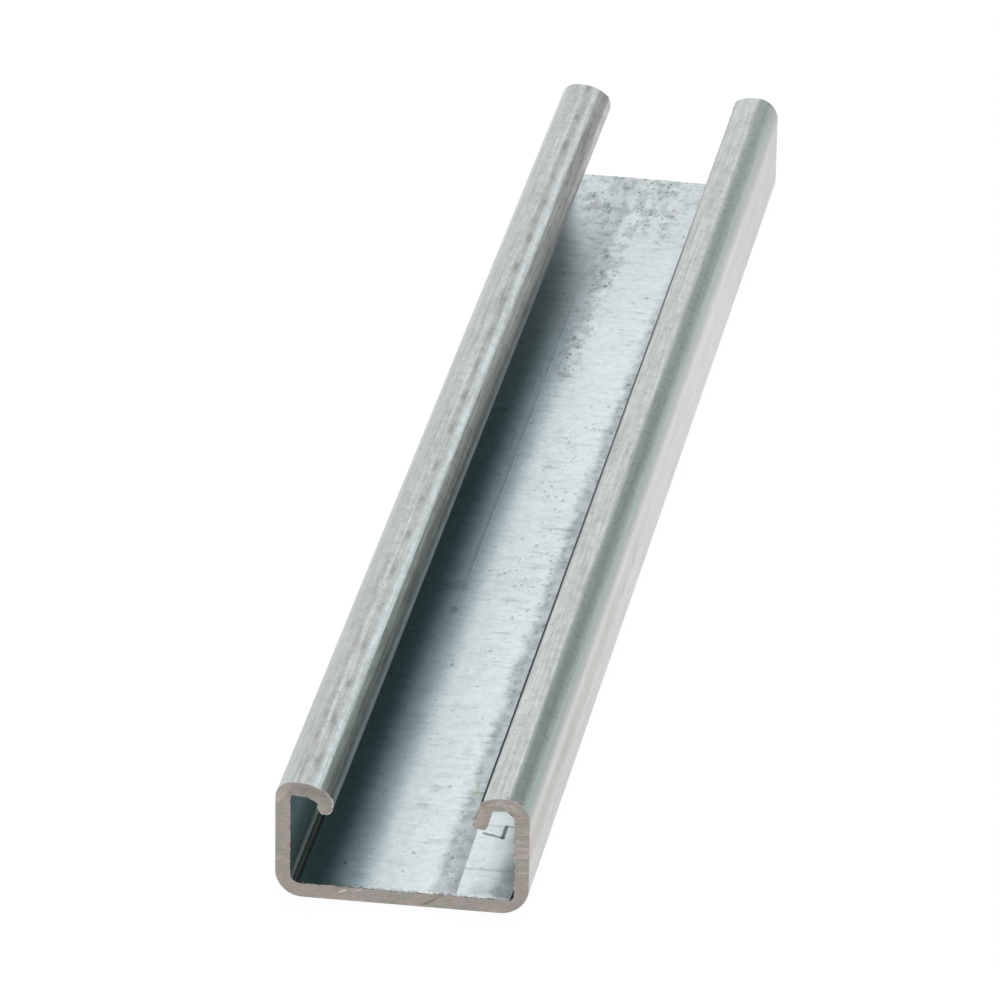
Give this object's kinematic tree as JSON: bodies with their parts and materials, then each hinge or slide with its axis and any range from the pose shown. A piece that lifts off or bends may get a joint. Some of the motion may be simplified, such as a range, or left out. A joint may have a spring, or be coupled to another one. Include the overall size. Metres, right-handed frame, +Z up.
{
  "type": "strut channel",
  "caption": "Short sawn length of shallow rolled steel strut channel with a plain web, in-turned lips and a full-length slot for channel nuts.",
  "frame": {"origin": "middle of the web's underside, at half the length and midway between the walls' outer faces", "axes": "+X across the channel to the right wall, +Y along the length, +Z up out of the slot"},
  "size_m": [0.0412, 0.3, 0.0206],
  "materials": {
    "galvanised_steel": "galvanised strip with roll lines, and raw sawn ends"
  },
  "bodies": {
    "root": {"channel": "galvanised_steel"}
  },
  "joints": []
}
